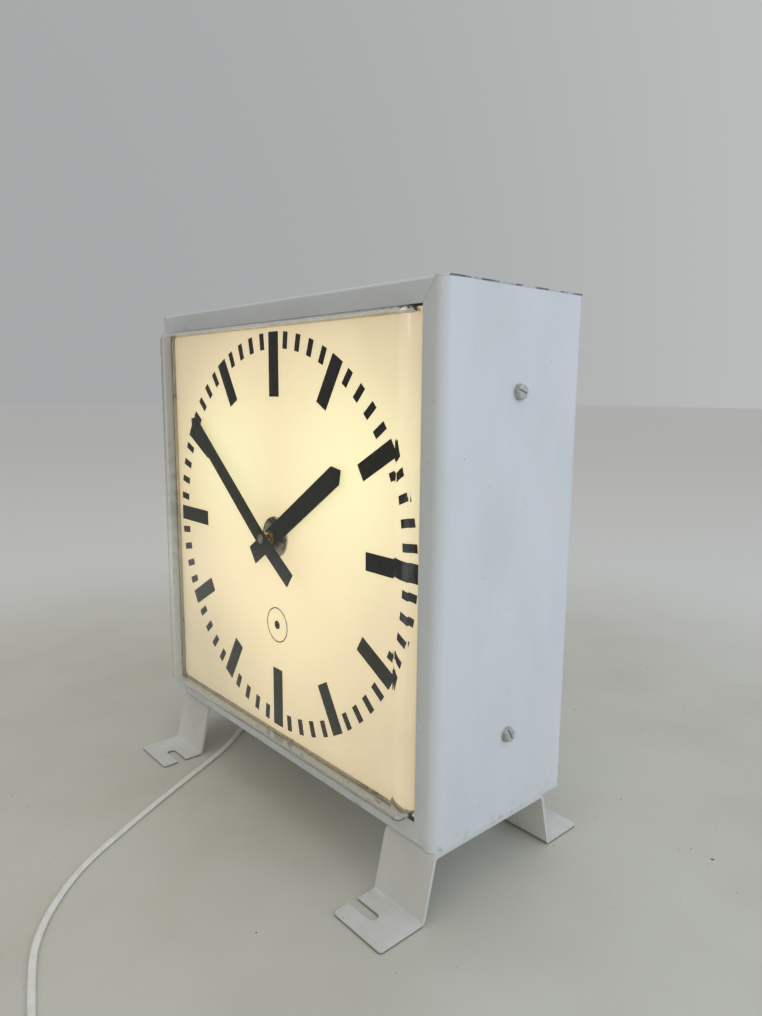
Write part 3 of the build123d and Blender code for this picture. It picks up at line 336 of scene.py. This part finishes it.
studioSet = {
    "worldLeft": "#B4B5B6",
    "worldRight": "#DCDDDC",
    "worldRoom": "#7C7C7B",
    "worldStrength": 0.85,
    "worldTurn": (-1.0, 0.3),  # from the left colour to the right one, as a share of X
    "roomSide": (-0.74, -0.67, 0.0),
    "roomEdge": (0.62, 0.92),  # how squarely a direction faces the room's dark side
    "tableNear": "#CFCEC2",
    # painted light: the table's paler colour far from the clock
    "tablePaintedLightFar": "#E4E4E0",
    # painted shade: the table's darker colour towards the room's unlit side
    "tablePaintedShadeRoom": "#9C9B93",
    "floorReach": 20.0,
    # name: place, aimed at, width and height, watts, colour
    "lights": {
        "frontFill": ((0.9, -2.4, 1.7), (0.0, -0.1, 0.1), (2.4, 1.8), 6, "#FFF8EC"),
        "ceiling": ((-0.2, -0.5, 2.8), (0.0, -0.1, 0.0), (3.0, 3.0), 9, "#FFFAF2"),
        "windowRight": ((2.2, 0.3, 1.3), (0.2, 0.0, 0.25), (1.6, 1.6), 15, "#BDD6FF"),
    },
}
floorMesh = bpy.data.meshes.new("floor")
reach = studioSet["floorReach"]
corners = [(-reach, -reach, 0), (reach, -reach, 0), (reach, reach, 0), (-reach, reach, 0)]
floorMesh.from_pydata(corners, [], [(0, 1, 2, 3)])
floor = bpy.data.objects.new("floor", floorMesh)
bpy.context.scene.collection.objects.link(floor)
world = bpy.data.worlds.new("studio")
bpy.context.scene.world = world
world.use_nodes = True
tree = world.node_tree
background = tree.nodes["Background"]
sky = addNode(tree, "ShaderNodeTexCoord").outputs["Generated"]
split = addNode(tree, "ShaderNodeSeparateXYZ", {"Vector": sky})
brighter = addNode(
    tree, "ShaderNodeMapRange", {"Value": split.outputs["X"]}, interpolation_type="SMOOTHSTEP",
    inputs=span(*studioSet["worldTurn"], 0.0, 1.0),
)
shade = addNode(tree, "ShaderNodeMix", {0: brighter.outputs["Result"]}, data_type="RGBA")
shade.inputs[6].default_value = linear(studioSet["worldLeft"])
shade.inputs[7].default_value = linear(studioSet["worldRight"])
# the unlit side of the room, which the cover mirrors
toRoom = addNode(tree, "ShaderNodeVectorMath", {0: sky}, operation="DOT_PRODUCT")
toRoom.inputs[1].default_value = studioSet["roomSide"]
unlit = addNode(
    tree, "ShaderNodeMapRange", {"Value": toRoom.outputs["Value"]}, interpolation_type="SMOOTHSTEP",
    inputs=span(*studioSet["roomEdge"], 0.0, 1.0),
)
shade = addNode(
    tree, "ShaderNodeMix", {0: unlit.outputs["Result"], 6: shade.outputs[2]}, data_type="RGBA"
)
shade.inputs[7].default_value = linear(studioSet["worldRoom"])
tree.links.new(shade.outputs[2], background.inputs["Color"])
background.inputs["Strength"].default_value = studioSet["worldStrength"]


def areaLight(name, at, towards, size, power, colour):
    data = bpy.data.lights.new(name, "AREA")
    data.shape = "RECTANGLE"
    data.size, data.size_y = size
    data.energy = power
    data.color = linear(colour)[:3]
    lamp = bpy.data.objects.new(name, data)
    aim = Vector(towards) - Vector(at)
    lamp.matrix_world = Matrix.Translation(at) @ aim.to_track_quat("-Z", "Y").to_matrix().to_4x4()
    bpy.context.scene.collection.objects.link(lamp)


for name, facts in studioSet["lights"].items():
    areaLight(name, *facts)
bpy.context.scene.view_settings.view_transform = "Standard"
print("studio lit")

# ---- finishes


def blotches(tree, size, detail=3.0, stretch=(1, 1, 1)):
    # cloudy noise about size metres across on the piece; stretch draws it out along an axis
    here = addNode(tree, "ShaderNodeTexCoord").outputs["Object"]
    drawn = addNode(tree, "ShaderNodeMapping", {"Vector": here}, inputs={"Scale": stretch})
    noise = addNode(
        tree, "ShaderNodeTexNoise", {"Vector": drawn.outputs["Vector"]},
        inputs={"Scale": 1 / size, "Detail": detail, "Roughness": 0.55},
    )
    return noise.outputs["Fac"]


def patches(tree, size, low, high, start=0.0, end=1.0, detail=3.0, stretch=(1, 1, 1)):
    # uneven patches: start where the noise is under low, end where it is over high
    cut = addNode(
        tree, "ShaderNodeMapRange", {"Value": blotches(tree, size, detail, stretch)},
        interpolation_type="SMOOTHSTEP", inputs=span(low, high, start, end),
    )
    return cut.outputs["Result"]


def band(tree, axis, low, high, start=0.0, end=1.0, middle=None):
    # a band across the piece, by the place along an axis, or by the distance from its middle plane
    here = addNode(tree, "ShaderNodeTexCoord").outputs["Object"]
    along = addNode(tree, "ShaderNodeSeparateXYZ", {"Vector": here}).outputs[axis]
    if middle is not None:
        gap = addNode(tree, "ShaderNodeMath", {0: along}, operation="SUBTRACT", inputs={1: middle})
        along = addNode(tree, "ShaderNodeMath", {0: gap.outputs[0]}, operation="ABSOLUTE").outputs[0]
    cut = addNode(
        tree, "ShaderNodeMapRange", {"Value": along},
        interpolation_type="SMOOTHSTEP", inputs=span(low, high, start, end),
    )
    return cut.outputs["Result"]


def halo(tree, centre, low, high, start=0.0, end=1.0):
    # a round patch about a point, by the distance from it
    here = addNode(tree, "ShaderNodeTexCoord").outputs["Object"]
    gap = addNode(tree, "ShaderNodeVectorMath", {0: here}, operation="DISTANCE", inputs={1: centre})
    cut = addNode(
        tree, "ShaderNodeMapRange", {"Value": gap.outputs["Value"]},
        interpolation_type="SMOOTHSTEP", inputs=span(low, high, start, end),
    )
    return cut.outputs["Result"]


def layers(tree, base, *coats):
    # a base colour with coats laid over it; each coat is its colour, then the shares that are
    # multiplied to say how much of it shows
    below = linear(base)
    for colour, *shares in coats:
        shown = shares[0]
        for share in shares[1:]:
            both = addNode(tree, "ShaderNodeMath", {0: shown, 1: share}, operation="MULTIPLY")
            shown = both.outputs[0]
        mix = addNode(tree, "ShaderNodeMix", {0: shown}, data_type="RGBA")
        if isinstance(below, list):
            mix.inputs[6].default_value = below
        else:
            tree.links.new(below, mix.inputs[6])
        mix.inputs[7].default_value = linear(colour)
        below = mix.outputs[2]
    return below


def grain(tree, shader, size, depth, detail=1.0, stretch=(1, 1, 1)):
    # fine relief of the surface, depth metres high
    height = blotches(tree, size, detail, stretch)
    bump = addNode(
        tree, "ShaderNodeBump", {"Height": height}, inputs={"Distance": depth, "Strength": 1.0}
    )
    tree.links.new(bump.outputs["Normal"], shader.inputs["Normal"])


# matt painted board: warm and pale, rubbed, with a few specks; painted light makes it paler far from the
# clock, painted shade makes it darker far in front, towards the room's unlit side
boardSet = {
    "rubbed": "#C8C6B9",
    "speck": "#5A564C",
    "paintedLightFrom": (0.42, 1.1),
    "paintedShadeFrom": (-0.46, -0.8),
}
paintedBoard, tree, shader = newMaterial("paintedBoard", studioSet["tableNear"], 0.5)
board = layers(
    tree, studioSet["tableNear"],
    (boardSet["rubbed"], patches(tree, 160 * mm, 0.35, 0.7, detail=4.0)),
    (
        boardSet["speck"],
        patches(tree, 6 * mm, 0.765, 0.785, detail=1.0), patches(tree, 60 * mm, 0.5, 0.6, detail=1.0),
    ),
    # painted light: the board turns paler away from the clock
    (studioSet["tablePaintedLightFar"], halo(tree, (0, 0, 0), *boardSet["paintedLightFrom"])),
    # painted shade: the board turns darker far in front, towards the room's unlit side
    (studioSet["tablePaintedShadeRoom"], band(tree, "Y", *boardSet["paintedShadeFrom"])),
)
tree.links.new(board, shader.inputs["Base Color"])
wear(floor, paintedBoard)

enamelSet = {
    "fresh": "#E1E4E5",
    "faded": "#DADDDD",
    # patchy brownish darkening towards the bottom of a piece
    "lowBrown": "#8E8878",
    "lowBrownDeep": 14 * mm,
    "bare": "#3B3530",
    "bareEdge": "#54504A",
    # painted contact shadow and dirt along the feet's bottom edge, where they meet the table
    "footContactShadowAndDirt": "#4C4840",
    "footContactHeights": (1.6 * mm, 1.0 * mm),
    "topEdge": (448.5 * mm, 449.2 * mm),
    "sideEdge": (200.6 * mm, 201.2 * mm),
    "orangePeel": 2.2 * mm,
    "orangePeelDeep": 0.03 * mm,
    "chip": 2.6 * mm,
    "chipsApart": 30 * mm,
    "sheen": (0.27, 0.42),
}


def stoveEnamel(name, fresh, faded, lowBrownTop, lowBrownShare):
    # stove enamel sprayed on folded sheet steel: an even satin skin with orange peel, tone that has
    # drifted with age, patchy brownish darkening towards the bottom, a painted contact shadow with dirt
    # where the feet meet the table, and a few chips to the steel
    material, tree, shader = newMaterial(name, fresh, 0.34)
    coat = layers(
        tree, fresh,
        (faded, patches(tree, 70 * mm, 0.35, 0.68, detail=4.0, stretch=(1, 1, 0.45))),
        (
            # patchy brownish darkening towards the bottom of the piece
            enamelSet["lowBrown"], band(tree, "Z", lowBrownTop, lowBrownTop - enamelSet["lowBrownDeep"]),
            patches(tree, 9 * mm, 0.5, 0.72, 0, lowBrownShare, detail=5.0, stretch=(0.5, 1, 1)),
        ),
        # painted contact shadow and dirt: a dark band along the lowest millimetre and a half, where the
        # feet meet the table
        (enamelSet["footContactShadowAndDirt"], band(tree, "Z", *enamelSet["footContactHeights"], 0, 0.8)),
        (
            enamelSet["bareEdge"], band(tree, "Z", *enamelSet["topEdge"]),
            band(tree, "X", *enamelSet["sideEdge"], middle=0.0),
            patches(tree, 12 * mm, 0.4, 0.6, 0.25, 0.95, detail=4.0),
        ),
        (
            enamelSet["bare"], patches(tree, enamelSet["chip"], 0.735, 0.76, detail=2.0),
            patches(tree, enamelSet["chipsApart"], 0.64, 0.66, detail=1.0),
        ),
    )
    tree.links.new(coat, shader.inputs["Base Color"])
    tree.links.new(patches(tree, 26 * mm, 0.3, 0.7, *enamelSet["sheen"]), shader.inputs["Roughness"])
    grain(tree, shader, enamelSet["orangePeel"], enamelSet["orangePeelDeep"])
    return material


caseEnamel = stoveEnamel("stoveEnamelCase", enamelSet["fresh"], enamelSet["faded"], 62 * mm, 0.7)
footEnamel = stoveEnamel("stoveEnamelFeet", "#DDDDD8", "#D2D1CA", 9 * mm, 0.25)
innerEnamel = stoveEnamel("stoveEnamelInside", "#E6E3DA", "#D6D0C2", -1.0, 0.0)  # too high for the darkening towards the bottom

# cast acrylic bent hot over a block: clear and glossy, with a milky haze and old brown dirt in
# its turned edges, and hairline scratches from wiping
acrylicSet = {
    "clear": "#FDFDFB",
    "dirt": "#6B5A44",
    "middle": 250 * mm,
    "turnedEdge": (176.5 * mm, 179 * mm),
    "sill": (71 * mm, 69 * mm),
    "scratch": 2.5 * mm,
    "scratchSheen": (0.015, 0.09),
    "wave": 60 * mm,
    "waveDeep": 0.12 * mm,
}
clearAcrylic, tree, shader = newMaterial(
    "castAcrylic", acrylicSet["clear"], 0.02, **{"IOR": 1.49, "Specular IOR Level": 0.22}
)
turned = addNode(
    tree, "ShaderNodeMath",
    {
        0: band(tree, "X", *acrylicSet["turnedEdge"], middle=0.0),
        1: band(tree, "Z", *acrylicSet["turnedEdge"], middle=acrylicSet["middle"]),
    },
    operation="MAXIMUM",
)
milky = patches(tree, 14 * mm, 0.3, 0.7, 0.02, 0.12, detail=4.0)
haze = addNode(tree, "ShaderNodeMath", {0: turned.outputs[0], 1: milky}, operation="MULTIPLY")
smears = patches(tree, 7 * mm, 0.56, 0.68, 0, 0.7, detail=5.0, stretch=(0.5, 1, 1))
dirt = addNode(
    tree, "ShaderNodeMath", {0: band(tree, "Z", *acrylicSet["sill"]), 1: smears}, operation="MULTIPLY"
)
stained = layers(tree, acrylicSet["clear"], (acrylicSet["dirt"], dirt.outputs[0]))
tree.links.new(stained, shader.inputs["Base Color"])
solid = addNode(tree, "ShaderNodeMath", {0: haze.outputs[0], 1: dirt.outputs[0]}, operation="MAXIMUM")
see = addNode(
    tree, "ShaderNodeMapRange", {"Value": solid.outputs[0]},
    interpolation_type="SMOOTHSTEP", inputs=span(0.0, 1.0, 1.0, 0.0),
)
tree.links.new(see.outputs["Result"], shader.inputs["Transmission Weight"])
scratches = patches(
    tree, acrylicSet["scratch"], 0.62, 0.74, *acrylicSet["scratchSheen"],
    detail=2.0, stretch=(1, 1, 0.08),
)
tree.links.new(scratches, shader.inputs["Roughness"])
grain(tree, shader, acrylicSet["wave"], acrylicSet["waveDeep"])

# opal cast acrylic lit by the lamps behind it: two warm pools where the bulbs sit, the light
# falling off to the corners and below, a soft shadow of the movement round the middle
dialSet = {
    "sheet": "#EFE4CC",
    "bright": "#FFF6C2",
    "warm": "#F5E0B2",
    "dim": "#C3B08C",
    "hubShade": "#D9C391",
    "lowCorner": "#AB9C80",
    "cloud": "#FFEFC4",
    "face": -60 * mm,
    "lamps": ((-80 * mm, 311 * mm, 120 * mm), (94 * mm, 314 * mm, 130 * mm)),
    "lampCore": 10 * mm,
    "warmFrom": (238 * mm, 60 * mm),
    "hubFrom": (40 * mm, 14 * mm),
    "lowFrom": (200 * mm, 85 * mm),
    "cornerFrom": (30 * mm, 190 * mm),
    "glow": 0.88,
}
opalAcrylic, tree, shader = newMaterial("opalAcrylic", dialSet["sheet"], 0.3)
pools = [
    halo(tree, (x, dialSet["face"], z), size, dialSet["lampCore"]) for x, z, size in dialSet["lamps"]
]
pool = addNode(tree, "ShaderNodeMath", {0: pools[0], 1: pools[1]}, operation="MAXIMUM").outputs[0]
glow = layers(
    tree, dialSet["dim"],
    (dialSet["warm"], halo(tree, (-8 * mm, dialSet["face"], 262 * mm), *dialSet["warmFrom"])),
    (dialSet["bright"], pool),
    (dialSet["hubShade"], halo(tree, (0, dialSet["face"], 256 * mm), *dialSet["hubFrom"], 0, 0.35)),
    (
        dialSet["lowCorner"], band(tree, "Z", *dialSet["lowFrom"], 0, 0.62),
        band(tree, "X", *dialSet["cornerFrom"], middle=40 * mm),
    ),
    (dialSet["cloud"], patches(tree, 45 * mm, 0.3, 0.7, 0.0, 0.10, detail=2.0)),
)
tree.links.new(glow, shader.inputs["Emission Color"])
shader.inputs["Emission Strength"].default_value = dialSet["glow"]
grain(tree, shader, 3 * mm, 0.02 * mm)

# screen-printed black ink on the acrylic: flat and matt, thinner in tiny pinholes
inkSet = {"ink": "#060606", "thin": "#2A2620", "pinhole": 1.4 * mm}
screenInk, tree, shader = newMaterial("screenInk", inkSet["ink"], 0.55, **{"Specular IOR Level": 0.22})
pinholes = patches(tree, inkSet["pinhole"], 0.70, 0.78, 0, 0.5, detail=2.0)
tree.links.new(layers(tree, inkSet["ink"], (inkSet["thin"], pinholes)), shader.inputs["Base Color"])
grain(tree, shader, 0.9 * mm, 0.01 * mm)

# hands blanked from aluminium and sprayed matt black
handSet = {"black": "#070707", "rubbed": "#15140F", "sheen": (0.42, 0.6)}
handPaint, tree, shader = newMaterial(
    "mattBlackPaint", handSet["black"], 0.5, **{"Specular IOR Level": 0.25}
)
sprayed = layers(tree, handSet["black"], (handSet["rubbed"], patches(tree, 18 * mm, 0.4, 0.7)))
tree.links.new(sprayed, shader.inputs["Base Color"])
tree.links.new(patches(tree, 6 * mm, 0.3, 0.7, *handSet["sheen"]), shader.inputs["Roughness"])
grain(tree, shader, 1.2 * mm, 0.015 * mm)

metalSet = {
    # name: colour, darker patches, roughness, blotch, grain stretched along one axis
    "zincPlate": ("#C9CAC6", "#A9A79C", 0.34, 5 * mm, (1, 1, 1)),
    "nickelPlate": ("#B9B4A8", "#958F83", 0.22, 6 * mm, (1, 1, 1)),
    "rolledBrass": ("#C8A862", "#A3823F", 0.3, 7 * mm, (1, 1, 6)),
    "turnedBrass": ("#CBAE6E", "#B08F4E", 0.2, 4 * mm, (1, 1, 1)),
    "alnicoMagnet": ("#6A6B6C", "#4B4948", 0.5, 3 * mm, (1, 1, 1)),
    "coreLaminations": ("#8B8D90", "#6D6660", 0.42, 1.2 * mm, (0.1, 1, 0.1)),
}


def metal(name):
    # plated, rolled or turned metal: an even sheen broken by dulled patches and fine marks
    colour, patch, roughness, blotch, stretch = metalSet[name]
    material, tree, shader = newMaterial(name, colour, roughness, Metallic=1.0)
    dull = patches(tree, blotch, 0.42, 0.7, detail=4.0, stretch=stretch)
    tree.links.new(layers(tree, colour, (patch, dull)), shader.inputs["Base Color"])
    sheen = patches(tree, blotch * 0.6, 0.3, 0.7, roughness - 0.08, roughness + 0.14)
    tree.links.new(sheen, shader.inputs["Roughness"])
    grain(tree, shader, 0.8 * mm, 0.01 * mm, detail=2.0, stretch=stretch)
    return material


plasticSet = {
    # name: colour, second tone, roughness, grain size, grain depth
    "mouldedPvcWhite": ("#EDECE6", "#E5E3DA", 0.32, 1.2 * mm, 0.015 * mm),
    "plugPvcWhite": ("#EAE8E0", "#E2DFD5", 0.36, 0.9 * mm, 0.02 * mm),
    "glandNylonGrey": ("#83868A", "#74767A", 0.42, 0.7 * mm, 0.02 * mm),
    "tieStrapBlack": ("#17171A", "#2A2A2E", 0.85, 0.6 * mm, 0.12 * mm),
    "gasketRubber": ("#20201F", "#37342E", 0.75, 1.1 * mm, 0.03 * mm),
    "coilEnamelWire": ("#8C3F22", "#6B2C17", 0.28, 0.35 * mm, 0.06 * mm),
    "wirePvcBrown": ("#5A3A24", "#47301F", 0.38, 1.0 * mm, 0.01 * mm),
    "holderPorcelain": ("#ECE9DE", "#DBD5C3", 0.16, 2.5 * mm, 0.01 * mm),
}


def plastic(name):
    # moulded or extruded plastic, rubber and glaze: a faint second tone and the grain of the mould
    colour, second, roughness, size, depth = plasticSet[name]
    material, tree, shader = newMaterial(name, colour, roughness)
    drift = patches(tree, 12 * mm, 0.38, 0.68, detail=4.0)
    tree.links.new(layers(tree, colour, (second, drift)), shader.inputs["Base Color"])
    sheen = patches(tree, 5 * mm, 0.3, 0.7, roughness - 0.05, roughness + 0.08)
    tree.links.new(sheen, shader.inputs["Roughness"])
    grain(tree, shader, size, depth, detail=2.0)
    return material


# zinc-plated screws gone over with the case's paint, which has worn thin
screwSet = {"paint": "#C4C4C0", "thin": "#ABAAA4", "metallic": 0.35}
paintedScrew, tree, shader = newMaterial("paintedScrew", "#D9D9D4", 0.36)
scuffed = patches(tree, 5 * mm, 0.4, 0.7, detail=2.0)
tree.links.new(layers(tree, screwSet["paint"], (screwSet["thin"], scuffed)), shader.inputs["Base Color"])
shader.inputs["Metallic"].default_value = screwSet["metallic"]
grain(tree, shader, 1.2 * mm, 0.01 * mm)

# frosted bulb glass, glowing warm all over
bulbSet = {"glass": "#F7F0E0", "warm": "#FFE2A8", "hot": "#FFF1CF", "glow": 2.0}
frostedGlass, tree, shader = newMaterial("frostedBulbGlass", bulbSet["glass"], 0.4)
heat = patches(tree, 16 * mm, 0.3, 0.7, detail=2.0)
tree.links.new(layers(tree, bulbSet["warm"], (bulbSet["hot"], heat)), shader.inputs["Emission Color"])
shader.inputs["Emission Strength"].default_value = bulbSet["glow"]

finishes = {
    caseEnamel: "side_panel_right side_panel_left top_panel bottom_panel rear_cover",
    footEnamel: "foot_right foot_left",
    innerEnamel: "chassis_plate lamp_shelf",
    clearAcrylic: "front_cover",
    opalAcrylic: "dial_plate",
    screenInk: "dial_markers",
    handPaint: "minute_hand hour_hand",
    paintedScrew: "side_screws side_washers",
    metal("zincPlate"): (
        "rear_cover_screws foot_bolts foot_nuts clip_studs dial_clips clip_nuts side_nuts"
        " dial_support_plate support_pillars plate_pillars mounting_posts centre_arbor train_arbor"
        " rotor_arbor"
    ),
    metal("nickelPlate"): "dial_nut hand_nut",
    metal("rolledBrass"): (
        "movement_front_plate movement_back_plate rotor_bridge centre_wheel motion_wheel"
        " hour_wheel train_wheel"
    ),
    metal("turnedBrass"): "cannon_pinion minute_collet hour_collet terminal_screws plug_pins",
    metal("alnicoMagnet"): "rotor_magnet",
    metal("coreLaminations"): "stator",
    plastic("gasketRubber"): "cover_gasket",
    plastic("coilEnamelWire"): "drive_coil",
    frostedGlass: "bulbs",
    plastic("holderPorcelain"): "lampholders terminal_block",
    plastic("wirePvcBrown"): "inner_wires",
    plastic("glandNylonGrey"): "cable_gland gland_nut strain_relief",
    plastic("tieStrapBlack"): "cord_tie",
}
for material, names in finishes.items():
    for name in names.split():
        wear(name, material)
wear(mainsFlex, plastic("mouldedPvcWhite"))
wear(plugPiece, plastic("plugPvcWhite"))
wear("plug_body", plugPiece.data.materials[0])
unfinished = [
    name for name in nodes
    if not nodes[name].data.materials or not nodes[name].data.materials[0].use_nodes
]
print("finishes on", len(nodes) - len(unfinished), "of", len(nodes), "nodes")
